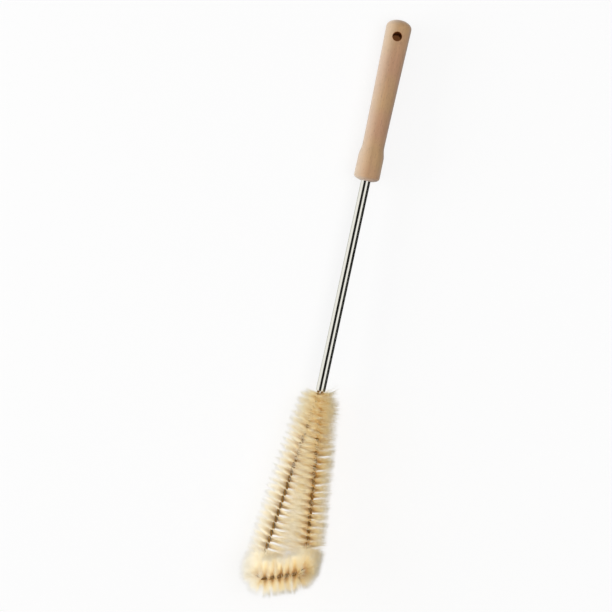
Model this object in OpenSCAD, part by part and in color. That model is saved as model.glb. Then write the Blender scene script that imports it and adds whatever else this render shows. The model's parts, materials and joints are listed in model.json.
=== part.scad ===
// Bottle brush: a turned beech handle, a polished stainless tube, and a looped head
// whose bristles are caught between the two wires of a twisted stem.
// Millimetres. The brush lies as it rests, +Y towards the handle, +Z up, and its nose is bent up.
// The stem is drawn in the brush's own frame first: the tube's mouth is its origin.

/* [Handle] */
// Length of the turned handle
handle_l = 111.4; // [90:0.1:140]
// Diameter at the thick end, behind the domed butt
butt_d = 17.3; // [15:0.1:22]
// Height of the domed butt
butt_dome = 5.2; // [2:0.1:8]
// Diameter of the waist next to the collar
waist_d = 15; // [12:0.1:18]
// How late the handle thickens from waist to butt; 1 is a straight taper
grip_hollow = 1.3; // [1:0.05:1.6]
// Diameter of the collar at its shoulder
collar_d = 17.4; // [14:0.1:21]
// Diameter of the collar where its end dome starts
collar_end_d = 17.6; // [14:0.1:21]
// Height of the domed end of the collar
collar_dome = 3.3; // [1:0.1:5]
// Length of the collar, from its end to its shoulder
collar_l = 16.5; // [12:0.5:25]
// Length of the hollowed shoulder between the collar and the waist
shoulder_l = 8; // [4:0.5:14]
// Diameter of the hanging hole
hang_hole_d = 6.4; // [3:0.1:8]
// Distance from the butt to the hanging hole's centre
hang_hole_in = 12.4; // [9:0.1:18]

/* [Tube] */
// Length of tube that shows between the handle and the bristles
tube_show = 145; // [60:1:220]
// Length of tube held inside the handle
tube_in = 38; // [20:1:60]
// Wall of the tube
tube_wall = 0.4; // [0.3:0.05:0.8]
// Length of the mouth that is swaged in around the stems
lip_l = 2; // [1:0.1:4]
// How far the swaged mouth is drawn in
lip_in = 0.08; // [0:0.01:0.1]

/* [Twisted wire] */
// Diameter of one wire
wire_d = 1.2; // [0.8:0.05:1.8]
// Gap between the two wires, in which the bristles are nipped
nip = 0.2; // [0.1:0.01:0.4]
// Share of that gap that the flattened bristles fill
nip_fill = 0.25; // [0.2:0.05:0.5]
// Length of one full turn of the twist, which is left-handed
twist_pitch = 9.5; // [7:0.1:14]
// Length of the two stems inside the tube
stem_in = 20; // [10:1:50]

/* [Loop] */
// Length of the left leg along the brush, from the mouth to where it bends up
left_leg_l = 120.5; // [90:1:160]
// Length of the right leg along the brush
right_leg_l = 114; // [90:1:160]
// Sideways reach of the left leg at its end
left_spread = 14.5; // [10:0.1:22]
// Sideways reach of the right leg at its end
right_spread = 14.4; // [10:0.1:22]
// Height that the nose is bent up above the legs
nose_rise = 15; // [10:0.5:20]
// How far the nose runs on past the end of the left leg
nose_on_left = 11.5; // [2:0.5:14]
// How far the nose runs on past the end of the right leg
nose_on_right = 7; // [2:0.5:14]
// How much further out the nose's left corner lies than its leg
nose_out_left = 2; // [-2:0.1:3]
// How much further out the nose's right corner lies than its leg
nose_out_right = -1; // [-2:0.1:3]
// Radius of the stem where a leg bends up into the nose
bend_r = 7; // [5:0.1:8]
// Radius of the stem at the two corners of the nose
corner_r = 6; // [4:0.1:7]
// Radius in which the stems part at the mouth
part_r = 20; // [5:1:40]

/* [Bristles] */
// Length of a bristle from the stem to its tip
bristle_l = 14.3; // [9:0.1:18]
// Length of the first bristles, next to the tube
mouth_bristle_l = 9.5; // [6:0.1:14]
// Distance over which the bristles grow to full length
grow_l = 16; // [6:1:30]
// Distance from the tube's mouth to the first bristles
bristle_start = 2; // [1.5:0.1:6]
// Angle by which the bristles of the legs lean towards the handle
lean = 7; // [0:1:15]
// Angle that one row of bristles fans out to, either side of its middle
fan = 37; // [15:1:42]
// Share of its length that a tuft may fall short by
ragged = 0.13; // [0:0.01:0.3]

/* [Clearances] */
// Gap round the tube in the handle's bore
tube_fit = 0.05; // [0.02:0.01:0.2]
// Space left beyond the tube's end in the handle's bore
bore_end = 0.5; // [0:0.1:2]
// Gap between the two stems inside the tube
stem_gap = 0.06; // [0.04:0.01:0.3]
// Gap between a stem and the swaged mouth of the tube
stem_fit = 0.07; // [0.04:0.01:0.3]
// Gap between the tips of bristles that meet inside the loop
tip_gap = 0.8; // [0.4:0.1:2]

/* [Hidden] */

turned_fn = 72;                  // facets round what is turned or drawn
arc_steps = 8;                   // steps in a rounded edge of a turned outline
wire_steps = 8;                  // rings of a wire in one turn of the twist
wire_sides = 5;
row_steps = 10;                  // rings of a row of bristles in one turn of the twist
tufts = 3;                       // tuft tips across one side of a row
tuft_seed = 11;

wire_r = wire_d / 2;
wire_off = (wire_d + nip) / 2;   // from the stem's middle line to a wire's
stem_r = wire_off + wire_r;
stem_x = stem_r + stem_gap / 2;  // from the tube's middle line to a stem's
flat_share = 0.92;               // share of a wire's radius within which the nipped bristles lie flat
nip_reach = flat_share * wire_r;
mouth_ir = stem_x + stem_r + stem_fit;
tube_ir = mouth_ir + lip_in;
tube_r = tube_ir + tube_wall;
bore_r = tube_r + tube_fit;
butt_y = tube_show + handle_l;

// The stem's corners, from inside the tube, round the loop and back, and the radius at each.
loop_corners = [
    [-stem_x, stem_in, 0],
    [-stem_x, -bristle_start, 0],
    [-left_spread, -left_leg_l, 0],
    [-left_spread - nose_out_left, -left_leg_l - nose_on_left, nose_rise],
    [right_spread + nose_out_right, -right_leg_l - nose_on_right, nose_rise],
    [right_spread, -right_leg_l, 0],
    [stem_x, -bristle_start, 0],
    [stem_x, stem_in, 0]
];
loop_radii = [0, part_r, bend_r, corner_r, corner_r, bend_r, part_r, 0];

// ---- A path of straight runs joined by arcs, with a frame that is carried along it untwisted ----

function unit(v) = v / norm(v);
function turned(v, axis, a) = v * cos(a) + cross(axis, v) * sin(a) + axis * (axis * v) * (1 - cos(a));
function all_turned(f, axis, a) = [for (v = f) turned(v, axis, a)];
function run_dir(p, i) = unit(p[i + 1] - p[i]);
function bend_angle(p, i) = acos(run_dir(p, i - 1) * run_dir(p, i));
function bend_axis(p, i) = unit(cross(run_dir(p, i - 1), run_dir(p, i)));
function setback(p, r, i) = r[i] == 0 ? 0 : r[i] * tan(bend_angle(p, i) / 2);
function arc_length(r, a) = r * a * PI / 180;

// A stretch is [its length, start point, start frame [side, up, forward], bend axis, bend radius].
function run_stretch(p, r, i, f) = [
    norm(p[i + 1] - p[i]) - setback(p, r, i) - setback(p, r, i + 1),
    p[i] + f[2] * setback(p, r, i), f, [0, 0, 1], 0];
function bend_stretch(p, r, i, f) = [
    arc_length(r[i], bend_angle(p, i)), p[i] - f[2] * setback(p, r, i), f, bend_axis(p, i), r[i]];
function stretches(p, r, f) = [
    for (i = 0, g = f; i < len(p) - 1;
         g = i + 2 < len(p) ? all_turned(g, bend_axis(p, i + 1), bend_angle(p, i + 1)) : g, i = i + 1)
        each i + 2 < len(p) ? [run_stretch(p, r, i, g), bend_stretch(p, r, i + 1, g)]
                            : [run_stretch(p, r, i, g)]];

// The place at distance d into a stretch, as [point, side, up, forward].
function place_in(q, d) = q[4] == 0
    ? [q[1] + q[2][2] * d, each q[2]]
    : let (a = d / q[4] * 180 / PI, hub = q[1] + cross(q[3], q[2][2]) * q[4])
      [hub + turned(q[1] - hub, q[3], a), each all_turned(q[2], q[3], a)];
function place(path, s, k = 0) = k == len(path) - 1 || s <= path[k][0]
    ? place_in(path[k], s) : place(path, s - path[k][0], k + 1);
function path_length(path, k) = k == 0 ? 0 : path[k - 1][0] + path_length(path, k - 1);

// The stem's path, and the distances along it at which each part of the head starts and ends.
stem = stretches(loop_corners, loop_radii, [[1, 0, 0], [0, 0, 1], [0, -1, 0]]);
stem_l = path_length(stem, len(stem));
nose_from = path_length(stem, 3);
nose_to = path_length(stem, 10);
bristles_from = stem_in + bristle_start;
bristles_to = stem_l - bristles_from;
nose_mid = (nose_from + nose_to) / 2;
row_pitch = twist_pitch / row_steps;
row_gap = tip_gap / 2;           // along the stem, between the last row of a leg and the nose
upright_share = 0.5;             // share of each half of the nose on which the bristles don't lean
tiny = 0.001;

function twist_at(s) = -360 * s / twist_pitch;
function round_dir(at, a) = at[1] * cos(a) + at[2] * sin(a);

// ---- Where the brush comes to rest: on the butt and on the bristles nearest the tube ----

rest_tilt = atan((bristle_l - butt_d / 2) / (butt_y - butt_dome + bristle_start + grow_l));
rest_lift = bristle_l * cos(rest_tilt) - (bristle_start + grow_l) * sin(rest_tilt);
loop_places = [for (i = [0 : floor((bristles_to - bristles_from) / row_pitch)])
    place(stem, bristles_from + i * row_pitch)];
// Half of what a round row spans along one axis of the brush
function row_half(at, k) = bristle_l * sqrt(max(0, 1 - at[3][k] * at[3][k]));
head_left = min([for (at = loop_places) at[0][0] - row_half(at, 0)]);
head_right = max([for (at = loop_places) at[0][0] + row_half(at, 0)]);
head_end = min([for (at = loop_places) at[0][1] - row_half(at, 1)]);

// Lays the brush from its own frame onto the surface, with its box centred on the origin.
module lie_down() {
    translate([-(head_left + head_right) / 2, -(head_end + butt_y) / 2, rest_lift])
        rotate([-rest_tilt, 0, 0]) children();
}

// ---- Handle ----

// Half of a dome of radius r whose rim is at height y; it rises h above the rim, or sinks if h is negative.
function dome(r, y, h) = [
    for (i = [0 : arc_steps]) let (a = 90 * i / arc_steps) [r * cos(a), y + h * sin(a)]];
// A hollow that runs from radius r0 at y0 to r1 at y1, level at both ends
function swell(y0, r0, y1, r1) = [
    for (i = [0 : arc_steps]) let (t = i / arc_steps)
        [r0 + (r1 - r0) * (1 - cos(180 * t)) / 2, y0 + (y1 - y0) * t]];
// A taper from r0 at y0 to r1 at y1 that thickens late; its own ends are left out
function taper(y0, r0, y1, r1, late) = [
    for (i = [1 : arc_steps - 1]) let (t = i / arc_steps)
        [r0 + (r1 - r0) * pow(t, late), y0 + (y1 - y0) * t]];
function reversed(list) = [for (i = [len(list) - 1 : -1 : 0]) list[i]];

// Half of the turned outline, from the collar's end up to the butt, as [radius, height].
handle_outline = let (
        shoulder_y = tube_show + collar_l,
        waist_y = shoulder_y + shoulder_l,
        thick_y = butt_y - butt_dome)
    concat(
        reversed(dome(collar_end_d / 2, tube_show + collar_dome, -collar_dome)),
        swell(shoulder_y, collar_d / 2, waist_y, waist_d / 2),
        taper(waist_y, waist_d / 2, thick_y, butt_d / 2, grip_hollow),
        dome(butt_d / 2, thick_y, butt_dome));

module along_y() {
    rotate([-90, 0, 0]) children();
}

module handle() {
    color("burlywood") lie_down() difference() {
        along_y() rotate_extrude($fn = turned_fn) polygon(handle_outline);
        translate([0, tube_show - tube_in, 0]) along_y()
            cylinder(r = bore_r, h = 2 * tube_in + bore_end, $fn = turned_fn);
        translate([0, butt_y - hang_hole_in, -butt_d])
            cylinder(d = hang_hole_d, h = 2 * butt_d, $fn = turned_fn);
    }
}

// ---- Tube ----

// Section of the wall, from the swaged mouth up to the end inside the handle.
tube_wall_outline = [
    [mouth_ir, 0],
    [mouth_ir + tube_wall / 2, 0],
    [tube_r - lip_in, tube_wall / 2],
    [tube_r, lip_l],
    [tube_r, tube_show + tube_in],
    [tube_ir, tube_show + tube_in],
    [tube_ir, lip_l]
];

module tube() {
    color("silver") lie_down() along_y()
        rotate_extrude($fn = turned_fn) polygon(tube_wall_outline);
}

// ---- Twisted wires ----

// Faces of a closed skin over n rings of m points each; caps lists the faces of one ring.
// The squares between two rings are folded outwards, and the one after point hollow inwards.
function skin(n, m, caps, hollow = -1) = concat(
    caps,
    [for (i = [0 : n - 2], j = [0 : m - 1])
        each let (a = i * m + j, b = i * m + (j + 1) % m)
            j == hollow ? [[a, a + m, b], [b, a + m, b + m]]
                        : [[a, a + m, b + m], [a, b + m, b]]],
    [for (cap = caps) [for (k = [len(cap) - 1 : -1 : 0]) cap[k] + (n - 1) * m]]);

function wire_ring(at, a) = let (
        out = round_dir(at, a),
        around = round_dir(at, a + 90),
        along = unit(at[3] - around * (2 * PI * wire_off / twist_pitch)),
        side = cross(along, out))
    [for (k = [0 : wire_sides - 1]) let (b = 360 * k / wire_sides)
        at[0] + out * (wire_off + wire_r * cos(b)) + side * wire_r * sin(b)];

// One of the two wires, turned round the stem's middle line by phase.
module core_wire(phase) {
    n = ceil(stem_l / twist_pitch * wire_steps) + 1;
    rings = [for (i = [0 : n - 1]) let (s = stem_l * i / (n - 1))
        wire_ring(place(stem, s), twist_at(s) + phase)];
    color("darkolivegreen") lie_down() polyhedron(
        points = [for (ring = rings) each ring],
        faces = skin(n, wire_sides, [[for (k = [0 : wire_sides - 1]) k]], floor(wire_sides / 2)));
}

module core_wire_a() {
    core_wire(0);
}

module core_wire_b() {
    core_wire(180);
}

// ---- Bristles: a double row that winds round the stem, each bristle reaching out both ways ----

// Full length of the bristles at distance s along the stem
function full_length(s) = let (
        near = min(s - bristles_from, bristles_to - s),
        short = max(0, 1 - near / grow_l))
    bristle_l - (bristle_l - mouth_bristle_l) * short * short;

// Length at which a bristle from p in direction e comes nearer to another part of the loop.
function free_length(p, e) = min([
    bristle_l + tip_gap,
    for (q = loop_places) let (d = q[0] - p, ahead = d * e) if (ahead > tiny) d * d / (2 * ahead)
]) - tip_gap / 2;

// How far the bristles sweep towards the handle for each millimetre of length: none at the nose.
function sweep_at(s) = let (out = abs(s - nose_mid) / (nose_mid - nose_from))
    tan(lean) * min(1, max(0, out - upright_share));

// One row's section: on each side two points in the nip, and between them the tips of the tufts.
row_points = 2 * (tufts + 2);
function row_ring(s, cut) = let (at = place(stem, s), row = twist_at(s) + 90)
    [for (half = [0, 1]) let (mid = row + 180 * half, out = round_dir(at, mid), up = round_dir(at, mid + 90),
                              waist = nip_fill * nip / 2)
        each concat(
            [at[0] + out * nip_reach - up * waist],
            [for (k = [0 : tufts - 1]) let (
                    e = round_dir(at, mid + fan * (2 * k / (tufts - 1) - 1)),
                    r = min(full_length(s) * (1 - ragged * cut[half * tufts + k]), free_length(at[0], e)))
                at[0] + e * r + [0, r * sweep_at(s), 0]],
            [at[0] + out * nip_reach + up * waist])];

module bristle_row(from, to) {
    n = ceil((to - from) / row_pitch) + 1;
    cuts = rands(0, 1, n * 2 * tufts, tuft_seed);
    rings = [for (i = [0 : n - 1])
        row_ring(from + (to - from) * i / (n - 1), [for (k = [0 : 2 * tufts - 1]) cuts[i * 2 * tufts + k]])];
    m = tufts + 2;
    caps = [[for (k = [0 : m - 1]) k], [for (k = [m : 2 * m - 1]) k], [0, m - 1, m, 2 * m - 1]];
    color("wheat") lie_down() polyhedron(
        points = [for (ring = rings) each ring],
        faces = skin(n, row_points, caps));
}

module left_leg_bristles() {
    bristle_row(bristles_from, nose_from - row_gap);
}

module nose_bristles() {
    bristle_row(nose_from, nose_to);
}

module right_leg_bristles() {
    bristle_row(nose_to + row_gap, bristles_to);
}

handle();
tube();
core_wire_a();
core_wire_b();
left_leg_bristles();
nose_bristles();
right_leg_bristles();
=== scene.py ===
"""Looks of a bottle brush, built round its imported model.

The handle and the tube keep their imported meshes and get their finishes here. The two wires of the
stem are drawn again with round sides, and the bristles as single hairs that are nipped between
them. Lengths are in metres. The brush's own frame has its origin in the middle of the tube's
mouth, +Y towards the handle and +Z out of the side that the nose is bent to.
"""

import json
import math

import bmesh
import bpy
import numpy as np
from mathutils import Matrix, Vector


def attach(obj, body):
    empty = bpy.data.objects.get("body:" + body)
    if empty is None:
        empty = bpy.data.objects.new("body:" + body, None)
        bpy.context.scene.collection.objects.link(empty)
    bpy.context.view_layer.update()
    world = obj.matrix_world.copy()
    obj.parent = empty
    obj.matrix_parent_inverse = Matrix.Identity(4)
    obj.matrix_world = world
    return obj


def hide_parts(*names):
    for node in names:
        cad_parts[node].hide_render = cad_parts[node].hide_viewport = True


bl_info = {
    "name": "Bottle Brush",
    "version": (1, 0, 0),
    "blender": (4, 5, 0),
    "location": "View3D > Sidebar > Bottle Brush",
    "description": "Finishes a bottle brush's handle and tube, and builds its wires and bristles",
    "category": "Object",
}

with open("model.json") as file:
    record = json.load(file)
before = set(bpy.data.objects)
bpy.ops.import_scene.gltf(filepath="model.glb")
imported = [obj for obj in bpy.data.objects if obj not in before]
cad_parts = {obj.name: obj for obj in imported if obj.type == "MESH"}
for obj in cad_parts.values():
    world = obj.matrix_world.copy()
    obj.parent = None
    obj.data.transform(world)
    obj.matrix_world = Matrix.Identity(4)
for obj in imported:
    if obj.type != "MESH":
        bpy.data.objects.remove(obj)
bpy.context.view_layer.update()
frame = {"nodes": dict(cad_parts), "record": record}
BODY = "root"
MM = 0.001
TOUCHING = 1e-7  # points this near each other are one
SEED = 7
HAIR_MAP = "OFBake"  # across: how bleached a hair is, with painted light and shade in it; up: from the stem to its tip
ACROSS, ALONG, UP = Vector((1, 0, 0)), Vector((0, 1, 0)), Vector((0, 0, 1))
WHITE = (1.0, 1.0, 1.0)


# ---- Sizes and colours ----


def length(name, default, description, most=0.5):
    """A setting in metres, with the most that its slider shows."""
    return bpy.props.FloatProperty(
        name=name, description=description, default=default, min=0, soft_max=most,
        subtype="DISTANCE", unit="LENGTH", precision=5)


def angle(name, degrees, description):
    """A setting that is given in degrees and kept in radians."""
    return bpy.props.FloatProperty(
        name=name, description=description, default=math.radians(degrees),
        subtype="ANGLE", unit="ROTATION")


def share(name, default, description, most=1.0):
    """A setting without a unit, from 0 to the most that it may be."""
    return bpy.props.FloatProperty(
        name=name, description=description, default=default, min=0, max=most, subtype="FACTOR")


def power(name, watts, description):
    """A setting in watts."""
    return bpy.props.FloatProperty(
        name=name, description=description, default=watts, min=0, subtype="POWER", unit="POWER")


def colour(name, hex_value, description):
    """A colour, given in sRGB and kept linear."""
    return bpy.props.FloatVectorProperty(
        name=name, description=description, default=linear(hex_value),
        size=3, min=0, max=1, subtype="COLOR")


def linear(hex_value):
    """An sRGB colour, written as six hex digits, as the linear RGB that a shader takes."""
    parts = [int(hex_value[i:i + 2], 16) / 255 for i in (1, 3, 5)]
    return [c / 12.92 if c <= 0.04045 else ((c + 0.055) / 1.055) ** 2.4 for c in parts]


class StemSizes(bpy.types.PropertyGroup):
    """The looped stem of two twisted wires"""

    wire_d: length("Wire", 1.2 * MM, "Diameter of one wire")
    nip: length("Nip", 0.2 * MM, "Gap between the wires, in which the hairs are caught")
    twist_pitch: length("Pitch", 9.5 * MM, "Length of one full left-handed turn")
    stem_gap: length("Stem gap", 0.06 * MM, "Gap between the two stems inside the tube")
    stem_in: length("In the tube", 20 * MM, "Length of the stems inside the tube")
    bare: length("Bare stem", 2 * MM, "Distance from the tube's mouth to the first hairs")
    left_leg: length("Left leg", 120.5 * MM, "Length of the left leg along the brush")
    right_leg: length("Right leg", 114 * MM, "Length of the right leg along the brush")
    left_spread: length("Left spread", 14.5 * MM, "Sideways reach of the left leg at its end")
    right_spread: length("Right spread", 14.4 * MM, "Sideways reach of the right leg at its end")
    nose_rise: length("Nose height", 15 * MM, "Height of the nose above the legs")
    nose_left: length("Nose, left", 11.5 * MM, "How far the nose runs on past the left leg")
    nose_right: length("Nose, right", 7 * MM, "How far the nose runs on past the right leg")
    nose_corner_left: length("Left corner", 2 * MM, "How much wider the nose's left corner is")
    nose_corner_right: length("Right corner", 1 * MM, "How much narrower its right corner is")
    bend_r: length("Bend", 7 * MM, "Radius where a leg bends up into the nose")
    corner_r: length("Corner", 6 * MM, "Radius at the corners of the nose")
    part_r: length("Parting", 20 * MM, "Radius in which the stems part at the mouth")
    # painted shade and painted reflection: brown for the shade between the hairs and the gold it
    # mirrors
    colour: colour("Wire colour", "#A08050", "Dulled wire between the hairs")


class HairSizes(bpy.types.PropertyGroup):
    """The bristles, as single hairs"""

    hair_d: length("Hair", 0.15 * MM, "Diameter of a hair near the stem")
    per_mm: bpy.props.FloatProperty(
        name="Hairs", description="Hairs laid across each millimetre of the stem", default=50)
    nose_share: share("Nose", 1.7, "How many times as dense as the legs the nose is", 3.0)
    corner_share: share("Corners", 1.5, "How much denser its corners are than the nose", 3.0)
    reach: length("Length", 14.9 * MM, "From the stem to the tip of a hair")
    mouth_reach: length("First hairs", 11 * MM, "Length of the hairs next to the tube")
    growth: length("Growth", 12 * MM, "Distance over which the hairs grow to full length")
    lean: angle("Lean", 7, "How far the hairs lean towards the handle")
    fan: angle("Fan", 37, "Most that a tuft turns out of its row")
    tuft_turn: angle("Tuft turn", 13, "Usual angle of a tuft out of its row")
    hair_turn: angle("Hair turn", 12, "Usual angle of a hair within its tuft")
    inner: share("Inner hairs", 0.32, "How much longer the hairs between the legs are")
    splay: share("Splay", 0.06, "How far a hair strays along the stem, as a share of its length")
    ragged: share("Ragged", 0.2, "Share of its length that a hair may fall short by")
    cling: share("Cling", 0.5, "How far the tips of a tuft draw together")
    # painted shade: the roots next to the wires are darker brown, for wax and the shade between the
    # wires
    nipped: colour("Nipped", "#9C8452", "Brown where the wires hold it")
    root: colour("Root", "#E6C684", "Golden near the stem")
    middle: colour("Middle", "#F9EFD2", "Straw along the hair")
    tip: colour("Tip", "#FFFBEC", "Bleached tip")
    glow: colour("Glow", "#FCF9F0", "What is left of the light that comes through a hair")


class HandleColours(bpy.types.PropertyGroup):
    """The turned beech handle"""

    pale: colour("Honey", "#BD9566", "Yellower wood")
    warm: colour("Rosy", "#BA8C68", "Steamed, pinker wood")
    # painted light: the handle's left side is paler, as the low light on the left makes it
    painted_left_light: colour("Painted left light", "#E4D1B8", "Palest wood, along the left")
    fleck: colour("Fleck", "#8A6040", "Ray flecks and smudges")
    # end grain, painted darker as well for the shade inside the hole
    end_grain_and_shade: colour("Hole", "#9A6238", "Wall of the drilled hanging hole")


class TubeColours(bpy.types.PropertyGroup):
    """The polished tube"""

    metal: colour("Steel", "#EBE9DF", "Polished stainless steel")


class StageSizes(bpy.types.PropertyGroup):
    """Camera, floor and light"""

    distance: length("Distance", 1.2, "From the camera to the brush", 5)
    view_w: length("View", 413.7 * MM, "Width of what the camera sees at the brush")
    turn: angle("Turn", 12.18, "Angle by which the brush leans in the view")
    aim_x: bpy.props.FloatProperty(
        name="Aim across", description="Where the camera aims, across the brush",
        default=-21.7 * MM, subtype="DISTANCE", unit="LENGTH")
    aim_y: length("Aim along", 54.1 * MM, "Where the camera aims, along the brush")
    ambient: share("Ambient", 0.4, "Light that comes from all round", 2.0)
    left_w: power("Left softbox", 10.5, "Power of the low softbox on the left")
    top_w: power("Top softbox", 8.5, "Power of the softbox overhead")
    softbox_away: length("Softboxes", 1.3, "From the brush to the softboxes", 5)
    paper: colour("Paper", "#F9F9F9", "White paper of the floor")
    dark_side: colour("Dark side", "#616161", "What the handle's right side sees of the floor")
    # painted shade: the floor under the hanging hole is dark brown, so that the hole looks dark
    # inside
    spot: colour("Painted hole shade", "#613C21", "Floor that shows through the hanging hole")
    card: colour("Card", "#FFFFF3", "Tint of what the card shows in the tube")
    screen: colour("Screens", "#1D1D19", "Dark screens that the tube mirrors")


GROUPS = {
    "brush_stem": StemSizes, "brush_hair": HairSizes, "brush_handle": HandleColours,
    "brush_tube": TubeColours, "brush_stage": StageSizes}


# ---- The brush's frame and the stem's middle line ----


def brush_frame():
    """The brush's own frame in the model's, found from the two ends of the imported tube."""
    end_l = 0.3 * MM  # the points of an end lie within this of it
    places = np.array([v.co for v in frame["nodes"]["tube"].data.vertices])
    ends = []
    for end in (places[:, 1].min(), places[:, 1].max()):
        ring = places[abs(places[:, 1] - end) < end_l]
        ends.append(Vector((ring.min(0) + ring.max(0)) / 2))
    along = (ends[1] - ends[0]).normalized()
    turn = Matrix((ACROSS, along, ACROSS.cross(along))).transposed()
    return Matrix.Translation(ends[0]) @ turn.to_4x4()


def moved(points, matrix):
    """Points of the brush's own frame, in the model's."""
    turn, shift = np.array(matrix.to_3x3()), np.array(matrix.translation)
    return points @ turn.T + shift


def hang_hole():
    """The record's entry for the hole in the handle."""
    return next(m for m in frame["record"]["mounts"] if m["name"] == "hang_hole")


class StemLine:
    """The stem's middle line: straight runs joined by arcs, with a frame that is carried along.

    It starts inside the tube, runs down the left leg, across the nose and back up the right leg.
    Places on it are told by s, the distance from its start.
    """

    STEP = 0.2 * MM
    BALL_R = 11 * MM  # how far along the nose its corners' looser hairs reach

    def __init__(self, sizes):
        self.pitch = sizes.twist_pitch
        self.wire_off = (sizes.wire_d + sizes.nip) / 2
        beside = self.wire_off + sizes.wire_d / 2 + sizes.stem_gap / 2
        left, right, rise = sizes.left_spread, sizes.right_spread, sizes.nose_rise
        left_nose = -sizes.left_leg - sizes.nose_left
        right_nose = -sizes.right_leg - sizes.nose_right
        self._walk([  # the corners, each with the radius that rounds it
            ((-beside, sizes.stem_in, 0), 0),
            ((-beside, -sizes.bare, 0), sizes.part_r),
            ((-left, -sizes.left_leg, 0), sizes.bend_r),
            ((-left - sizes.nose_corner_left, left_nose, rise), sizes.corner_r),
            ((right - sizes.nose_corner_right, right_nose, rise), sizes.corner_r),
            ((right, -sizes.right_leg, 0), sizes.bend_r),
            ((beside, -sizes.bare, 0), sizes.part_r),
            ((beside, sizes.stem_in, 0), 0),
        ])
        _, left_bend, left_corner, right_corner, right_bend, _ = self.arcs
        self.hairs_from = sizes.stem_in + sizes.bare
        self.hairs_to = self.length - self.hairs_from
        self.nose_from, self.nose_to = left_bend[0], right_bend[1]
        self.nose_middle = (self.nose_from + self.nose_to) / 2
        self.balls = (
            (left_bend[1] + left_corner[0]) / 2, (right_corner[1] + right_bend[0]) / 2)
        self.runs = {
            "left_leg": (self.hairs_from, self.nose_from),
            "nose": (self.nose_from, self.nose_to),
            "right_leg": (self.nose_to, self.hairs_to)}

    def _walk(self, stops):
        """Follows the corners and keeps a row at each step: s, place, side, up and way."""
        corners = [Vector(corner) for corner, _ in stops]
        place, travelled = corners[0], 0.0
        way = (corners[1] - corners[0]).normalized()
        side, up = ACROSS, UP
        rows, self.arcs = [], []
        for i in range(1, len(corners)):
            last = i == len(corners) - 1
            radius = stops[i][1]
            after = way if last else (corners[i + 1] - corners[i]).normalized()
            bend = way.angle(after, 0.0)
            run = (corners[i] - place).length - radius * math.tan(bend / 2)
            for d in self._steps(run, last):
                rows.append((travelled + d, *(place + way * d), *side, *up, *way))
            travelled += run
            place = place + way * run
            if last:
                break
            axis = way.cross(after).normalized()
            hub = place + axis.cross(way) * radius
            arc = radius * bend
            self.arcs.append((travelled, travelled + arc))
            for d in self._steps(arc, False):
                turn = Matrix.Rotation(d / radius, 3, axis)
                spot = hub + turn @ (place - hub)
                rows.append((travelled + d, *spot, *(turn @ side), *(turn @ up), *(turn @ way)))
            turn = Matrix.Rotation(bend, 3, axis)
            place = hub + turn @ (place - hub)
            side, up, way = turn @ side, turn @ up, after
            travelled += arc
        self.rows = np.array(rows)
        self.length = travelled

    def _steps(self, run, to_the_end):
        return np.linspace(0, run, max(2, math.ceil(run / self.STEP)), endpoint=to_the_end)

    def at(self, s):
        """Places, sides, ups and forward directions at s."""
        found = np.stack([np.interp(s, self.rows[:, 0], column) for column in self.rows.T[1:]], -1)
        return found[..., 0:3], found[..., 3:6], found[..., 6:9], found[..., 9:12]

    def out(self, s, turn):
        """The direction away from the stem at s and this turn of the twist, in radians."""
        _, side, up, _ = self.at(s)
        return side * np.cos(turn)[..., None] + up * np.sin(turn)[..., None]

    def twist(self, s):
        """How far the wires have turned at s, in radians. Their twist is left-handed."""
        return -2 * math.pi * np.asarray(s) / self.pitch

    def near_mouth(self, s, within):
        """1 at the hairs next to the tube, falling to 0 this far from them on either leg."""
        return np.clip(1 - np.minimum(s - self.hairs_from, self.hairs_to - s) / within, 0, 1)

    def in_ball(self, s):
        """1 at the two corners of the nose, where the hairs spread into a ball, 0 off them."""
        near = np.min([abs(s - ball) for ball in self.balls], 0)
        return np.clip(1 - near / self.BALL_R, 0, 1)

    def on_nose(self, s):
        """Whether s is past the left leg and not yet on the right one."""
        return (s > self.nose_from) & (s < self.nose_to)


# ---- Making pieces ----


def in_scene(name, data):
    """Puts an object with this mesh, curve, lamp or camera in the scene."""
    made = bpy.data.objects.new(name, data)
    bpy.context.scene.collection.objects.link(made)
    return made


def strands(name, points, radii, sides, closed_ends):
    """A mesh of round strands through rows of points, each point with its own radius."""
    ring = bpy.data.curves.new(name + " section", "CURVE")
    spline = ring.splines.new("POLY")
    spline.points.add(sides - 1)
    for k, point in enumerate(spline.points):
        turn = 2 * math.pi * k / sides
        point.co = (math.cos(turn), math.sin(turn), 0, 1)
    spline.use_cyclic_u = True
    section = in_scene(name + " section", ring)
    curve = bpy.data.curves.new(name + " lines", "CURVE")
    curve.dimensions = "3D"
    curve.bevel_mode = "OBJECT"
    curve.bevel_object = section
    curve.use_fill_caps = closed_ends
    for path, radius in zip(points, radii):
        line = curve.splines.new("POLY")
        line.points.add(len(path) - 1)
        line.points.foreach_set("co", np.c_[path, np.ones(len(path))].ravel())
        line.points.foreach_set("radius", radius)
    lines = in_scene(name + " lines", curve)
    shown = lines.evaluated_get(bpy.context.evaluated_depsgraph_get())
    mesh = bpy.data.meshes.new_from_object(shown)
    for helper, data in ((lines, curve), (section, ring)):
        bpy.data.objects.remove(helper)
        bpy.data.curves.remove(data)
    mesh.name = name
    while mesh.uv_layers:
        mesh.uv_layers.remove(mesh.uv_layers[0])
    return mesh


def weld(mesh):
    """Closes the tips and caps, whose points lie on each other, and turns every face outwards."""
    made = bmesh.new()
    made.from_mesh(mesh)
    bmesh.ops.remove_doubles(made, verts=made.verts, dist=TOUCHING)
    bmesh.ops.recalc_face_normals(made, faces=made.faces)
    for face in made.faces:
        face.smooth = True
    made.to_mesh(mesh)
    made.free()


def piece(name, mesh, material, node):
    """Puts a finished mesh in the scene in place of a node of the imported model."""
    made = in_scene(name, mesh)
    mesh.materials.clear()
    mesh.materials.append(material)
    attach(made, BODY)
    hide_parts(node)


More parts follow.
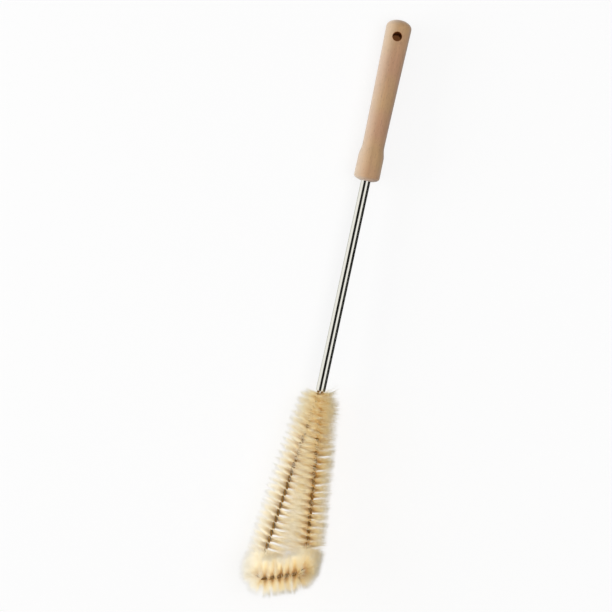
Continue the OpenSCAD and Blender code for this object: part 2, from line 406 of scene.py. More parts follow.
def sheet(name, width, depth, middle, material):
    """A flat sheet of the stage."""
    made = bmesh.new()
    bmesh.ops.create_grid(made, x_segments=1, y_segments=1, size=0.5)
    bmesh.ops.scale(made, vec=(width, depth, 1), verts=made.verts)
    bmesh.ops.translate(made, vec=middle, verts=made.verts)
    mesh = bpy.data.meshes.new(name)
    made.to_mesh(mesh)
    made.free()
    mesh.materials.append(material)
    return in_scene(name, mesh)


# ---- Materials ----


def new_material(name):
    """A material with an empty node tree."""
    made = bpy.data.materials.new(name)
    made.use_nodes = True
    made.node_tree.nodes.clear()
    return made


def add(tree, kind, links=None, **settings):
    """Adds a node. Each entry of links is an input's value, or the output that feeds it."""
    made = tree.nodes.new(kind)
    for name, value in settings.items():
        setattr(made, name, value)
    for key, value in (links or {}).items():
        if isinstance(value, bpy.types.NodeSocket):
            tree.links.new(value, made.inputs[key])
        else:
            made.inputs[key].default_value = value
    return made


def ramp(node, *stops):
    """Sets a colour ramp's stops, each a position and a colour."""
    elements = node.color_ramp.elements
    while len(elements) < len(stops):
        elements.new(1.0)
    for element, (position, value) in zip(elements, stops):
        element.position = position
        element.color = (*value, 1.0)
    return node.outputs["Color"]


def grain(tree, place, across, along, detail, roughness, distortion=0.0):
    """Noise with marks of this width across the brush and this length along it."""
    scaled = add(tree, "ShaderNodeMapping", {
        "Vector": place, "Scale": (1 / across, 1 / along, 1 / across)})
    return add(tree, "ShaderNodeTexNoise", {
        "Vector": scaled.outputs["Vector"], "Scale": 1.0, "Detail": detail,
        "Roughness": roughness, "Distortion": distortion}).outputs["Fac"]


def wall_of_hole(tree, place, hole, radius):
    """1 on the wall of a hole with this frame, and 0 on the skin from its rounded edge on."""
    wall_r, skin_r = radius + 0.02 * MM, radius + 0.25 * MM
    from_hole = add(tree, "ShaderNodeVectorMath", {
        0: place, 1: hole.translation}, operation="SUBTRACT")
    squares = []
    for row in hole.to_3x3().transposed()[:2]:
        across = add(tree, "ShaderNodeVectorMath", {
            0: from_hole.outputs["Vector"], 1: row}, operation="DOT_PRODUCT")
        squares.append(add(tree, "ShaderNodeMath", {
            0: across.outputs["Value"], 1: across.outputs["Value"]}, operation="MULTIPLY"))
    off_axis = add(tree, "ShaderNodeMath", {
        0: squares[0].outputs[0], 1: squares[1].outputs[0]}, operation="ADD")
    return add(tree, "ShaderNodeMapRange", {
        "Value": off_axis.outputs[0], "From Min": wall_r ** 2, "From Max": skin_r ** 2,
        "To Min": 1.0, "To Max": 0.0}).outputs["Result"]


def beech(colours, hole, hole_r):
    """Sanded beech, turned and left bare.

    Honey and rosy patches of wood, with long bands of growth along the handle, brown ray flecks
    two millimetres long over them, and a fine grain that breaks up the sheen. Its left side is
    painted paler, as painted light from the low light on the left. The drilled hole is end grain,
    dark brown and rough; its brown is also painted shade of the hole.
    """
    made = new_material("sanded beech")
    tree = made.node_tree
    place = add(tree, "ShaderNodeTexCoord").outputs["Object"]
    patches = grain(tree, place, 26.32 * MM, 26.32 * MM, 2.0, 0.5)
    bands = grain(tree, place, 5 * MM, 83.33 * MM, 4.0, 0.55, 0.6)
    # bundles of fibres: a single one is ten times finer and wouldn't show
    fibres = grain(tree, place, 0.2778 * MM, 8.333 * MM, 3.0, 0.6)
    flecks = grain(tree, place, 0.5882 * MM, 2.381 * MM, 1.0, 0.4)
    smudges = grain(tree, place, 6.25 * MM, 6.25 * MM, 3.0, 0.7)

    patched = ramp(
        add(tree, "ShaderNodeValToRGB", {"Fac": patches}),
        (0.38, colours.pale), (0.62, colours.warm))
    banded = add(tree, "ShaderNodeMapRange", {
        "Value": bands, "From Min": 0.3, "From Max": 0.7, "To Min": 0.86, "To Max": 1.1})
    fibrous = add(tree, "ShaderNodeMapRange", {
        "Value": fibres, "From Min": 0.25, "From Max": 0.75, "To Min": 0.93, "To Max": 1.05})
    tone = add(tree, "ShaderNodeMath", {
        0: banded.outputs["Result"], 1: fibrous.outputs["Result"]}, operation="MULTIPLY")
    wood = add(tree, "ShaderNodeHueSaturation", {
        "Value": tone.outputs[0], "Color": patched}).outputs["Color"]

    flecked = add(tree, "ShaderNodeMapRange", {
        "Value": flecks, "From Min": 0.60, "From Max": 0.75, "To Min": 0.0, "To Max": 0.5})
    smudged = add(tree, "ShaderNodeMapRange", {
        "Value": smudges, "From Min": 0.58, "From Max": 0.75, "To Min": 0.0, "To Max": 0.35})
    marks = add(tree, "ShaderNodeMath", {
        0: flecked.outputs["Result"], 1: smudged.outputs["Result"]}, operation="MAXIMUM")
    sides = add(tree, "ShaderNodeSeparateXYZ", {0: place})
    # painted light: paler towards the left, where the low light falls
    painted_left_light = add(tree, "ShaderNodeMapRange", {
        "Value": sides.outputs["X"], "From Min": -8.5 * MM, "From Max": 1 * MM,
        "To Min": 0.6, "To Max": 0.0})
    # the hole's wall: end grain and painted shade, darker brown and rough
    drilled = wall_of_hole(tree, place, hole, hole_r)
    for covered, over in (
            (marks.outputs[0], colours.fleck), (painted_left_light.outputs["Result"], colours.painted_left_light),
            (drilled, colours.end_grain_and_shade)):
        wood = add(tree, "ShaderNodeMix", {
            "Factor": covered, "A": wood, "B": (*over, 1.0)},
            data_type="RGBA").outputs["Result"]

    rough = add(tree, "ShaderNodeMapRange", {
        "Value": fibres, "From Min": 0.2, "From Max": 0.8, "To Min": 0.42, "To Max": 0.58})
    relief = add(tree, "ShaderNodeBump", {
        "Height": fibres, "Strength": 0.15, "Distance": 0.05 * MM})
    shine = add(tree, "ShaderNodeMapRange", {"Value": drilled, "To Min": 0.5, "To Max": 0.0})
    skin = add(tree, "ShaderNodeBsdfPrincipled", {
        "Base Color": wood, "Roughness": rough.outputs["Result"],
        "Normal": relief.outputs["Normal"], "IOR": 1.48,
        "Specular IOR Level": shine.outputs["Result"],
        "Sheen Weight": shine.outputs["Result"], "Sheen Roughness": 0.6})
    add(tree, "ShaderNodeOutputMaterial", {"Surface": skin.outputs["BSDF"]})
    return made


def polished_steel(colours):
    """Drawn and polished stainless tube: mirror bright, a little blurred by hairlines along it."""
    made = new_material("polished stainless steel")
    tree = made.node_tree
    place = add(tree, "ShaderNodeTexCoord").outputs["Object"]
    # coarser than real draw lines, which are a few hundredths of a millimetre apart
    draw_lines = grain(tree, place, 0.1538 * MM, 50 * MM, 2.0, 0.5)
    wiping_marks = grain(tree, place, 8.333 * MM, 8.333 * MM, 3.0, 0.5)
    both = add(tree, "ShaderNodeMath", {0: draw_lines, 1: wiping_marks}, operation="MULTIPLY")
    gloss = add(tree, "ShaderNodeMapRange", {
        "Value": both.outputs[0], "From Min": 0.1, "From Max": 0.4,
        "To Min": 0.09, "To Max": 0.17})
    relief = add(tree, "ShaderNodeBump", {
        "Height": draw_lines, "Strength": 0.04, "Distance": 0.01 * MM})
    skin = add(tree, "ShaderNodeBsdfPrincipled", {
        "Base Color": (*colours.metal, 1.0), "Metallic": 1.0,
        "Roughness": gloss.outputs["Result"], "Normal": relief.outputs["Normal"]})
    add(tree, "ShaderNodeOutputMaterial", {"Surface": skin.outputs["BSDF"]})
    return made


def wire_in_painted_shade(sizes):
    """Drawn steel wire with a soft broken shine, painted dark brown for the shade and gold of the
    hairs.
    """
    made = new_material("dulled steel wire")
    tree = made.node_tree
    place = add(tree, "ShaderNodeTexCoord").outputs["Object"]
    stains = grain(tree, place, 1.4286 * MM, 1.4286 * MM, 3.0, 0.5)
    tone = add(tree, "ShaderNodeMapRange", {
        "Value": stains, "From Min": 0.3, "From Max": 0.7, "To Min": 0.75, "To Max": 1.2})
    # the brown base is painted shade and painted reflection of the hairs round the wire
    shade = add(tree, "ShaderNodeHueSaturation", {
        "Value": tone.outputs["Result"], "Color": (*sizes.colour, 1.0)})
    skin = add(tree, "ShaderNodeBsdfPrincipled", {
        "Base Color": shade.outputs["Color"], "Metallic": 0.6, "Roughness": 0.5})
    add(tree, "ShaderNodeOutputMaterial", {"Surface": skin.outputs["BSDF"]})
    return made


def natural_bristle(sizes):
    """Bleached natural bristle: golden brown at the stem, paling to cream at the split tips.

    The map's X says how bleached a hair is, with painted light on the left and painted shade on the
    right and next to the tube added to it. Golden hairs are a little darker and richer, and
    bleached ones nearly grey, which gives a tuft its depth. The roots next to the wires are
    painted darker, for wax and the shade between the wires.
    """
    made = new_material("natural bristle")
    tree = made.node_tree
    spot = add(tree, "ShaderNodeUVMap", uv_map=HAIR_MAP)
    parts = add(tree, "ShaderNodeSeparateXYZ", {0: spot.outputs["UV"]})
    # the first stop, next to the wires, is painted shade as well as wax
    along = ramp(
        add(tree, "ShaderNodeValToRGB", {"Fac": parts.outputs["Y"]}),
        (0.03, sizes.nipped), (0.1, sizes.root), (0.42, sizes.middle), (0.8, sizes.tip))
    tone = add(tree, "ShaderNodeMapRange", {
        "Value": parts.outputs["X"], "From Min": 0.0, "From Max": 1.0,
        "To Min": 0.89, "To Max": 1.02})
    strength = add(tree, "ShaderNodeMapRange", {
        "Value": parts.outputs["X"], "From Min": 0.0, "From Max": 0.9,
        "To Min": 1.5, "To Max": 0.3})
    hair = add(tree, "ShaderNodeHueSaturation", {
        "Value": tone.outputs["Result"], "Saturation": strength.outputs["Result"], "Color": along})
    skin = add(tree, "ShaderNodeBsdfPrincipled", {
        "Base Color": hair.outputs["Color"], "Roughness": 0.5, "IOR": 1.5})
    # half of the light that a hair scatters comes through it from behind
    through = add(tree, "ShaderNodeBsdfTranslucent", {"Color": hair.outputs["Color"]})
    both = add(tree, "ShaderNodeMixShader", {
        "Fac": 0.5, 1: skin.outputs["BSDF"], 2: through.outputs["BSDF"]})
    # lamps shine on through the outer hairs to those below
    passing = add(tree, "ShaderNodeBsdfTransparent", {"Color": (*sizes.glow, 1.0)})
    shadow_ray = add(tree, "ShaderNodeLightPath").outputs["Is Shadow Ray"]
    lit = add(tree, "ShaderNodeMixShader", {
        "Fac": shadow_ray, 1: both.outputs[0], 2: passing.outputs["BSDF"]})
    add(tree, "ShaderNodeOutputMaterial", {"Surface": lit.outputs[0]})
    return made


def shows_backdrop(tree, rays):
    """1 for the rays that show the backdrop: the camera's, and those that metal sends on."""
    seen = rays["Is Camera Ray"]
    for kind in ("Is Glossy Ray", "Is Transmission Ray"):
        seen = add(tree, "ShaderNodeMath", {
            0: seen, 1: rays[kind]}, operation="MAXIMUM").outputs[0]
    return seen


def white_paper(sizes):
    """Matt white paper, lit so brightly that only a faint shadow shows on it.

    Two places on it are dark. A brown spot of painted shade lies under the hanging hole, so that
    the hole is dark inside, and shows from straight above only. To the right of the handle little
    light comes back from the floor, as if a black card lay there.
    """
    made = new_material("white paper floor")
    tree = made.node_tree
    rays = add(tree, "ShaderNodeLightPath").outputs
    place = add(tree, "ShaderNodeTexCoord").outputs["Object"]

    # painted shade: a brown spot under the hanging hole, seen from straight above only
    hole_x, hole_y, _ = hang_hole()["pos_m"]
    from_hole = add(tree, "ShaderNodeVectorMath", {
        0: place, 1: (hole_x, hole_y, 0)}, operation="DISTANCE")
    looking = add(tree, "ShaderNodeNewGeometry").outputs["Incoming"]
    steep = add(tree, "ShaderNodeSeparateXYZ", {0: looking})
    slanted = add(tree, "ShaderNodeMapRange", {
        "Value": steep.outputs["Z"], "From Min": 0.9, "From Max": 0.97,
        "To Min": 10 * MM, "To Max": 0.0})
    off_painted_shade = add(tree, "ShaderNodeMath", {
        0: from_hole.outputs["Value"], 1: slanted.outputs["Result"]}, operation="ADD")
    out_of_painted_shade = add(tree, "ShaderNodeMapRange", {
        "Value": off_painted_shade.outputs[0], "From Min": 3.92 * MM, "From Max": 7.84 * MM})
    paper, glow = [
        add(tree, "ShaderNodeMix", {
            "Factor": out_of_painted_shade.outputs["Result"], "A": (*sizes.spot, 1.0), "B": (*white, 1.0)},
            data_type="RGBA").outputs["Result"]
        for white in (sizes.paper, WHITE)]

    spots = add(tree, "ShaderNodeSeparateXYZ", {0: place})
    right = add(tree, "ShaderNodeMapRange", {
        "Value": spots.outputs["X"], "From Min": 6 * MM, "From Max": 12 * MM})
    beside = add(tree, "ShaderNodeMapRange", {
        "Value": spots.outputs["Y"], "From Min": 60 * MM, "From Max": 90 * MM})
    dark = rays["Is Diffuse Ray"]
    for edge in (right, beside):
        dark = add(tree, "ShaderNodeMath", {
            0: dark, 1: edge.outputs["Result"]}, operation="MULTIPLY").outputs[0]
    darkened = add(tree, "ShaderNodeMix", {
        "Factor": dark, "A": paper, "B": (*sizes.dark_side, 1.0)}, data_type="RGBA")
    matt = add(tree, "ShaderNodeBsdfDiffuse", {"Color": darkened.outputs["Result"]})

    # all white past the shadows, so that no horizon shows
    glowing = add(tree, "ShaderNodeEmission", {"Color": glow})
    away = add(tree, "ShaderNodeVectorMath", {0: place}, operation="LENGTH")
    white_share = add(tree, "ShaderNodeMapRange", {
        "Value": away.outputs["Value"], "From Min": 0.35, "From Max": 0.9,
        "To Min": 0.8, "To Max": 1.0})
    lit = add(tree, "ShaderNodeMath", {
        0: shows_backdrop(tree, rays), 1: white_share.outputs["Result"]}, operation="MULTIPLY")
    both = add(tree, "ShaderNodeMixShader", {
        "Fac": lit.outputs[0], 1: matt.outputs[0], 2: glowing.outputs[0]})
    add(tree, "ShaderNodeOutputMaterial", {"Surface": both.outputs[0]})
    return made


def card_for_metal(sizes):
    """Card for the tube to mirror: grey under it, and black on its right for a dark edge."""
    made = new_material("black card")
    tree = made.node_tree
    place = add(tree, "ShaderNodeTexCoord").outputs["Object"]
    across = add(tree, "ShaderNodeSeparateXYZ", {0: place})
    grey = add(tree, "ShaderNodeMapRange", {
        "Value": across.outputs["X"], "From Min": -1 * MM, "From Max": 1 * MM,
        "To Min": 0.4, "To Max": 0.01})
    shown = add(tree, "ShaderNodeEmission", {
        "Color": (*sizes.card, 1.0), "Strength": grey.outputs["Result"]})
    add(tree, "ShaderNodeOutputMaterial", {"Surface": shown.outputs[0]})
    return made


def studio(sizes):
    """A white room with two dark screens for metal to mirror, and soft light from all round."""
    screens_at = ((-46.8, 9.0), (59.4, 136.8))  # degrees from overhead towards the right
    soft_edge = 3.6  # degrees
    world = bpy.data.worlds.new("studio")
    world.use_nodes = True
    tree = world.node_tree
    tree.nodes.clear()
    rays = add(tree, "ShaderNodeLightPath").outputs
    way = add(tree, "ShaderNodeTexCoord").outputs["Generated"]
    parts = add(tree, "ShaderNodeSeparateXYZ", {0: way})
    bearing = add(tree, "ShaderNodeMath", {
        0: parts.outputs["X"], 1: parts.outputs["Z"]}, operation="ARCTAN2")
    share_round = add(tree, "ShaderNodeMapRange", {
        "Value": bearing.outputs[0], "From Min": -math.pi, "From Max": math.pi})
    stops = [(-180, WHITE)]
    for start, end in screens_at:
        stops += [
            (start - soft_edge, WHITE), (start, sizes.screen), (end, sizes.screen),
            (end + soft_edge, WHITE)]
    room = ramp(
        add(tree, "ShaderNodeValToRGB", {"Fac": share_round.outputs["Result"]}),
        *[(0.5 + degrees / 360, value) for degrees, value in stops])
    backdrop = add(tree, "ShaderNodeMix", {
        "Factor": rays["Is Camera Ray"], "A": room, "B": (*WHITE, 1.0)}, data_type="RGBA")
    shown = add(tree, "ShaderNodeBackground", {"Color": backdrop.outputs["Result"]})
    light = add(tree, "ShaderNodeBackground", {
        "Color": (*WHITE, 1.0), "Strength": sizes.ambient})
    both = add(tree, "ShaderNodeMixShader", {
        "Fac": shows_backdrop(tree, rays), 1: light.outputs[0], 2: shown.outputs[0]})
    add(tree, "ShaderNodeOutputWorld", {"Surface": both.outputs[0]})
    return world


# ---- The pieces ----


class BRUSH_OT_finish_handle(bpy.types.Operator):
    """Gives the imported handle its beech"""

    bl_idname = "bottle_brush.finish_handle"
    bl_label = "Finish Handle"

    def execute(self, context):
        mount = hang_hole()
        hole = Vector(mount["axis"]).to_track_quat("Z", "Y").to_matrix().to_4x4()
        hole.translation = mount["pos_m"]
        handle = frame["nodes"]["handle"]
        handle.material_slots[0].material = beech(
            context.scene.brush_handle, hole, mount["dims"]["r_mm"] * MM)
        return {"FINISHED"}


class BRUSH_OT_polish_tube(bpy.types.Operator):
    """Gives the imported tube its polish"""

    bl_idname = "bottle_brush.polish_tube"
    bl_label = "Polish Tube"

    def execute(self, context):
        tube = frame["nodes"]["tube"]
        tube.material_slots[0].material = polished_steel(context.scene.brush_tube)
        return {"FINISHED"}


class BRUSH_OT_twist_wires(bpy.types.Operator):
    """Builds the two round wires of the stem"""

    bl_idname = "bottle_brush.twist_wires"
    bl_label = "Twist Wires"

    RINGS_A_TURN = 24
    SIDES = 10

    def execute(self, context):
        sizes = context.scene.brush_stem
        line = StemLine(sizes)
        steel = wire_in_painted_shade(sizes)
        rings = math.ceil(line.length / line.pitch * self.RINGS_A_TURN)
        s = np.linspace(0, line.length, rings)
        for name, phase in (("core_wire_a", 0.0), ("core_wire_b", math.pi)):
            middle = line.at(s)[0] + line.out(s, line.twist(s) + phase) * line.wire_off
            path = moved(middle, brush_frame())
            mesh = strands(
                "round_" + name, [path], [np.full(rings, sizes.wire_d / 2)], self.SIDES, True)
            weld(mesh)
            piece("round_" + name, mesh, steel, name)
        return {"FINISHED"}


class BRUSH_OT_set_bristles(bpy.types.Operator):
    """Sets the hairs of the two legs and the nose between the wires"""

    bl_idname = "bottle_brush.set_bristles"
    bl_label = "Set Bristles"

    # the shape of one hair
    SIDES = 3
    STOPS = np.array([0.1, 0.7, 1.0])  # rings along it, as shares of its length
    THINNING = np.array([1.0, 0.85, 0.0])  # its thickness at them
    THICKNESS = (0.75, 1.15)  # thinnest and thickest, as shares of hair_d
    ROOT = 1.4 * MM  # how far it stays in its row before its tuft fans out
    BOW = 0.06  # usual bow, as a share of its length
    FLOOR_GAP = 0.05 * MM  # least height above the floor

    # its place
    CHOICES = 8  # places on the stem to choose from, for each hair
    TUFT = 14  # hairs that cling together
    MOUTH_L = 40 * MM  # how far the untidier hairs near the tube reach
    CROWDED_L = 75 * MM  # how far the hairs of both legs lie over each other

    # how far hairs turn out of their row, as a share of the usual turn: those that point away
    # from the other leg, those that point to it, and those that point up or down
    DISORDER = {
        "left_leg": (0.65, 1.9, 0.55), "nose": (1.7, 1.7, 1.7), "right_leg": (2.4, 1.45, 1.2)}
    MOUTH_DISORDER = 0.9  # how much more next to the tube

    # how much longer, as a share: at the nose's two corners, and outside the right leg
    LEFT_BALL, RIGHT_BALL = 0.05, -0.08
    OUTSIDE, OUTSIDE_LOW = 0.09, 0.35  # the second is how much of this the lowest hairs keep

    # what a tuft has in common
    TUFT_RAGGED = 0.5  # share of a hair's shortfall
    TUFT_SPLAY = 0.6  # straying along the stem, beside 1 for each hair's own
    TUFT_TONE = 0.6  # share of a hair's tone
    CLING = (0.2, 1.0)  # least and most, as shares of cling
    BALL_RAGGED = 0.3  # how much more ragged the hairs are at the nose's corners
    BALL_CLING, MOUTH_CLING = 0.7, 0.6  # how much less they cling there, and next to the tube

    # hairs that meet the other leg
    CLEAR = 1.4 * MM  # how near they may pass its middle line
    LEG_STEP = 0.5 * MM  # between the places of that leg that they are tried against
    LEAST_APART = 0.2 * MM  # from a hair's bend to that line, however near it is
    KEPT_TURN = 0.3  # how much of its own turn a hair keeps where it passes

    # how bleached a hair is, from 0 for golden to 1; painted light and painted shade are added in
    # it too
    TONE = 0.6  # the least on the left leg
    TONE_RANGE = 0.45  # between hairs that lie side by side
    TONE_RIGHT, TONE_NOSE = -0.3, -0.06  # painted shade: more golden and darker towards the right leg, away from the light; and on the nose
    PAINTED_SHADE_CROWDED = -0.5  # painted shade: more golden and darker next to the tube, where the hairs of both legs lie over each other
    BALL_TONE, BALL_SHARE = 0.9, 0.5  # painted light: paler at the left end of the nose, which faces the light; and how far it is drawn to it
    TONE_TIP, TONE_LEFT = 0.12, 0.4  # bleached tips on either side; and painted light, paler still, on those left of the stem

    # the map: its left edge, the width for the tones, and the width of one side of a hair
    MAP_EDGE, MAP_TONES, MAP_SIDE = 0.02, 0.93, 0.02

    def execute(self, context):
        line, sizes = StemLine(context.scene.brush_stem), context.scene.brush_hair
        bristle = natural_bristle(sizes)
        for number, (name, (start, end)) in enumerate(line.runs.items()):
            rng = np.random.default_rng(SEED + number)
            density = sizes.nose_share if name == "nose" else 1.0
            count = int((end - start) / MM * sizes.per_mm * density)
            spots = np.linspace(start, end, self.CHOICES * count)
            crowding = 1 + sizes.corner_share * line.in_ball(spots)
            s = np.sort(rng.choice(spots, count, False, crowding / crowding.sum()))
            halves = [
                self.half(line, sizes, s, turn, self.DISORDER[name], rng)
                for turn in (0.0, math.pi)]
            stem = line.at(s)[0][:, None]
            path = np.concatenate([halves[0][:, ::-1], stem, halves[1]], 1)
            aside = (path[..., 0] - stem[..., 0]) / sizes.reach
            path = moved(path, brush_frame())
            path[..., 2] = np.maximum(path[..., 2], self.FLOOR_GAP)
            thick = sizes.hair_d / 2 * rng.uniform(*self.THICKNESS, (count, 1))
            taper = np.concatenate([self.THINNING[::-1], [1.0], self.THINNING])
            mesh = strands("hairs", path, thick * taper, self.SIDES, False)
            self.map_hairs(mesh, self.tones(line, s, aside, rng))
            weld(mesh)
            piece(name + "_hairs", mesh, bristle, name + "_bristles")
        return {"FINISHED"}

    def half(self, line, sizes, s, turn, disorder, rng):
        """The rings of the half hairs that leave the stem on one side, from the stem outwards."""
        count = len(s)
        tuft = np.arange(count) // self.TUFT
        tufts = tuft[-1] + 1
        place, _, _, forward = line.at(s)
        row = line.twist(s) + math.pi / 2 + turn
        straight = line.out(s, row)
        ball, mouth = line.in_ball(s), line.near_mouth(s, self.MOUTH_L)

        disorder = self.blended(disorder, place, straight)
        disorder = disorder * (1 + ball + self.MOUTH_DISORDER * mouth)
        tuft_turn = np.clip(rng.normal(0, sizes.tuft_turn, tufts), -sizes.fan, sizes.fan)[tuft]
        off = (tuft_turn + rng.normal(0, sizes.hair_turn, count)) * disorder
        reach = self.full_length(line, sizes, s, straight)
        bearing, inward = self.past_other_leg(line, s, row + off, reach, tuft)
        fanned = line.out(s, bearing)

        short = self.TUFT_RAGGED * rng.uniform(0, 1, tufts)[tuft]
        short = short + (1 - self.TUFT_RAGGED) * rng.uniform(0, 1, count) ** 2
        reach = reach * (1 - sizes.ragged * short * (1 + self.BALL_RAGGED * ball))
        reach = reach * (1 + sizes.inner * inward)

        tilt = rng.normal(0, self.TUFT_SPLAY, tufts)[tuft] + rng.normal(0, 1, count)
        tilt = tilt * sizes.splay * disorder
        # on the nose those that point to the handle lean further, and the others less
        sweep = math.tan(sizes.lean) * np.where(line.on_nose(s), 1 + fanned[:, 1], 1)
        lean = np.array(ALONG) * sweep[:, None] + forward * tilt[:, None]
        bow = np.cross(fanned, forward) * rng.normal(0, self.BOW, count)[:, None]

        rings = []
        for stop in self.STOPS:
            d = np.maximum(reach * stop, self.ROOT)[:, None]
            rings.append(
                place + straight * self.ROOT + fanned * (d - self.ROOT)
                + lean * d + bow * d * stop)
        rings = np.stack(rings, 1)
        middle = np.stack([
            np.bincount(tuft, rings[:, -1, k]) / np.bincount(tuft) for k in range(3)], -1)
        pull = sizes.cling * rng.uniform(*self.CLING, count)
        pull = pull * (1 - self.BALL_CLING * ball) * (1 - self.MOUTH_CLING * mouth)
        drawn = (middle[tuft] - rings[:, -1]) * pull[:, None]
        return rings + drawn[:, None] * (self.STOPS ** 2)[None, :, None]

    @staticmethod
    def blended(disorder, place, straight):
        """Each hair's disorder, by whether it points outside, to the other leg, or up or down."""
        outside, inside, upward = disorder
        between = np.clip(-straight[:, 0] * np.sign(place[:, 0]), 0, 1)
        sideways = outside + (inside - outside) * between
        return sideways + (upward - sideways) * abs(straight[:, 2]) ** 2

    def full_length(self, line, sizes, s, straight):
        """How far each hair reaches from the stem before it is worn."""
        short = (sizes.reach - sizes.mouth_reach) * line.near_mouth(s, sizes.growth) ** 2
        longer = np.where(s < line.nose_middle, self.LEFT_BALL, self.RIGHT_BALL)
        reach = (sizes.reach - short) * (1 + longer * line.in_ball(s))
        outward = np.clip(straight[:, 0], 0, 1) * (s > line.nose_to)
        kept = self.OUTSIDE_LOW + (1 - self.OUTSIDE_LOW) * line.near_mouth(s, self.CROWDED_L)
        return reach * (1 + self.OUTSIDE * outward * kept)

    def past_other_leg(self, line, s, bearing, reach, tuft):
        """Turns the hairs that would run into the other leg's wires, so that they pass by them.

        Also says how far each hair points to the other leg, from 0 to 1.
        """
        place, side, up, forward = line.at(s)
        left, right = [
            np.arange(*line.runs[leg], self.LEG_STEP) for leg in ("left_leg", "right_leg")]
        turned, inward = bearing.copy(), np.zeros(len(s))
        for own, other in ((s < line.nose_from, right), (s > line.nose_to, left)):
            if not own.any():
                continue
            away = line.at(other)[0][None] - place[own][:, None]
            level = abs(np.einsum("ijk,ik->ij", away, forward[own])).argmin(1)
            away = away[np.arange(own.sum()), level]
            a = np.einsum("ij,ij->i", away, side[own])
            b = np.einsum("ij,ij->i", away, up[own])
            apart = np.hypot(a, b)
            aim = np.arctan2(b, a)
            off = (bearing[own] - aim + math.pi) % (2 * math.pi) - math.pi
            least = np.arctan2(self.CLEAR, np.maximum(apart - self.ROOT, self.LEAST_APART))
            over = np.bincount(tuft[own], off)[tuft[own]] >= 0
            hit = (abs(off) < least) & (apart < reach[own] + self.CLEAR)
            passing = aim + np.where(over, least, -least) + off * self.KEPT_TURN
            turned[own] = np.where(hit, passing, bearing[own])
            inward[own] = np.maximum(np.cos(off), 0)
        return turned, inward

    def tones(self, line, s, aside, rng):
        """How bleached each ring of each hair is, with painted light and painted shade in it.

        aside is how far the ring lies to the right of the stem, as a share of a hair's length.
        """
        count = len(s)
        shade = self.TUFT_TONE * rng.uniform(0, 1, count)[np.arange(count) // self.TUFT]
        shade += (1 - self.TUFT_TONE) * rng.uniform(0, 1, count)
        # painted shade: darker and more golden towards the right, away from the light on the left
        towards_shaded_right = np.interp(s, [line.nose_from, line.nose_to], [0.0, 1.0])
        tones = (
            self.TONE + self.TONE_RANGE * shade + self.TONE_RIGHT * towards_shaded_right
            + self.PAINTED_SHADE_CROWDED * line.near_mouth(s, self.CROWDED_L)
            + self.TONE_NOSE * line.on_nose(s))
        # painted light: the left end of the nose is paler
        drawn = self.BALL_SHARE * line.in_ball(s) * (s < line.nose_middle)
        tones = tones + (self.BALL_TONE - tones) * drawn
        # painted light: rings left of the stem are paler and those right of it more golden; tips on
        # both sides are bleached
        bleached = self.TONE_TIP * abs(aside) - self.TONE_LEFT * aside
        return np.clip(tones[:, None] + bleached, 0, 1)

    def map_hairs(self, mesh, tones):
        """Lays each ring of a hair out at its tone, with the stem at the bottom of the map."""
        rings = 2 * len(self.STOPS) + 1
        corner = np.empty(len(mesh.loops), np.int32)
        mesh.loops.foreach_get("vertex_index", corner)
        hair, ring = corner // (self.SIDES * rings), corner // self.SIDES % rings
        up = np.concatenate([self.STOPS[::-1], [0.0], self.STOPS])[ring]
        across = (
            self.MAP_EDGE + self.MAP_TONES * tones[hair, ring]
            + self.MAP_SIDE * (corner % self.SIDES))
        layer = mesh.uv_layers.new(name=HAIR_MAP)
        layer.uv.foreach_set("vector", np.stack([across, up], -1).astype(np.float32).ravel())


# ---- Stage ----


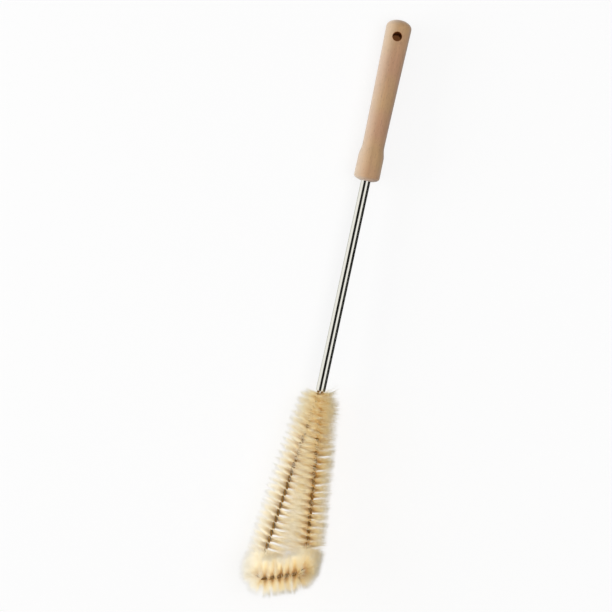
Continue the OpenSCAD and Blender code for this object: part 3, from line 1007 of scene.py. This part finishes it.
class BRUSH_OT_set_stage(bpy.types.Operator):
    """Lays a white floor and sets the lights and the camera"""

    bl_idname = "bottle_brush.set_stage"
    bl_label = "Set Stage"

    FLOOR_W = 6.0
    CARD_W, CARD_L = 630 * MM, 800 * MM
    CARD_AT = (300 * MM, 0, 0.3 * MM)
    SENSOR_W = 36.0  # in millimetres, as the lens is
    # where each stands, to the right, up the view and towards the camera, and its size
    SOFTBOXES = {
        "left": ((-1.0, 0.1, 0.3), (0.5, 1.1)),
        "top": ((0.42, 0.0, 1.0), (1.0, 1.2))}
    HAIRS_THROUGH = 32  # hairs in a row that a lamp's light comes through

    def execute(self, context):
        scene, sizes = context.scene, context.scene.brush_stage
        floor = sheet("floor", self.FLOOR_W, self.FLOOR_W, (0, 0, 0), white_paper(sizes))
        # shows only in what shines
        card = sheet("dark_card", self.CARD_W, self.CARD_L, self.CARD_AT, card_for_metal(sizes))
        card.visible_camera = card.visible_diffuse = card.visible_shadow = False
        scene.world = studio(sizes)
        # what the camera aims at, with X to the right in the view and Y up it
        view = (
            brush_frame() @ Matrix.Translation((sizes.aim_x, sizes.aim_y, 0))
            @ Matrix.Rotation(sizes.turn, 4, "Z"))
        self.set_camera(scene, sizes, view)
        for name, (towards, size) in self.SOFTBOXES.items():
            out = view.to_3x3() @ Vector(towards).normalized()
            place = view.translation + out * sizes.softbox_away
            self.set_softbox(name + " softbox", place, out, size, getattr(sizes, name + "_w"))
        scene.view_settings.view_transform = "Standard"
        scene.cycles.transparent_max_bounces = self.HAIRS_THROUGH
        return {"FINISHED"}

    def set_camera(self, scene, sizes, view):
        data = bpy.data.cameras.new("camera")
        data.sensor_width = self.SENSOR_W
        data.lens = self.SENSOR_W * sizes.distance / sizes.view_w
        data.clip_start, data.clip_end = 0.05, 20.0
        scene.camera = in_scene("camera", data)
        scene.camera.matrix_world = view @ Matrix.Translation((0, 0, sizes.distance))

    @staticmethod
    def set_softbox(name, place, out, size, watts):
        """A soft light at this place that shines against out, with its length along the brush."""
        data = bpy.data.lights.new(name, "AREA")
        data.shape = "RECTANGLE"
        data.size, data.size_y = size
        data.energy = watts
        light = in_scene(name, data)
        light.visible_camera = light.visible_glossy = False
        across = (brush_frame().to_3x3() @ ALONG).cross(out).normalized()
        turn = Matrix((across, out.cross(across), out)).transposed()
        light.matrix_world = Matrix.Translation(place) @ turn.to_4x4()


class BRUSH_PT_sidebar(bpy.types.Panel):
    """Lists the brush's pieces and their sizes"""

    bl_idname = "BRUSH_PT_sidebar"
    bl_label = "Bottle Brush"
    bl_space_type = "VIEW_3D"
    bl_region_type = "UI"
    bl_category = "Bottle Brush"

    def draw(self, context):
        for operator in OPERATORS:
            self.layout.operator(operator.bl_idname)
        for group in GROUPS:
            box = self.layout.box()
            sizes = getattr(context.scene, group)
            for name in sizes.bl_rna.properties.keys():
                if name not in ("rna_type", "name"):
                    box.prop(sizes, name)


OPERATORS = (
    BRUSH_OT_finish_handle, BRUSH_OT_polish_tube, BRUSH_OT_twist_wires,
    BRUSH_OT_set_bristles, BRUSH_OT_set_stage)


def register():
    for cls in (*GROUPS.values(), *OPERATORS, BRUSH_PT_sidebar):
        bpy.utils.register_class(cls)
    for name, group in GROUPS.items():
        setattr(bpy.types.Scene, name, bpy.props.PointerProperty(type=group))


def unregister():
    for name in GROUPS:
        delattr(bpy.types.Scene, name)
    for cls in reversed((*GROUPS.values(), *OPERATORS, BRUSH_PT_sidebar)):
        bpy.utils.unregister_class(cls)


def main():
    register()
    for operator in OPERATORS:
        area, name = operator.bl_idname.split(".")
        getattr(getattr(bpy.ops, area), name)()


if __name__ == "__main__":
    main()
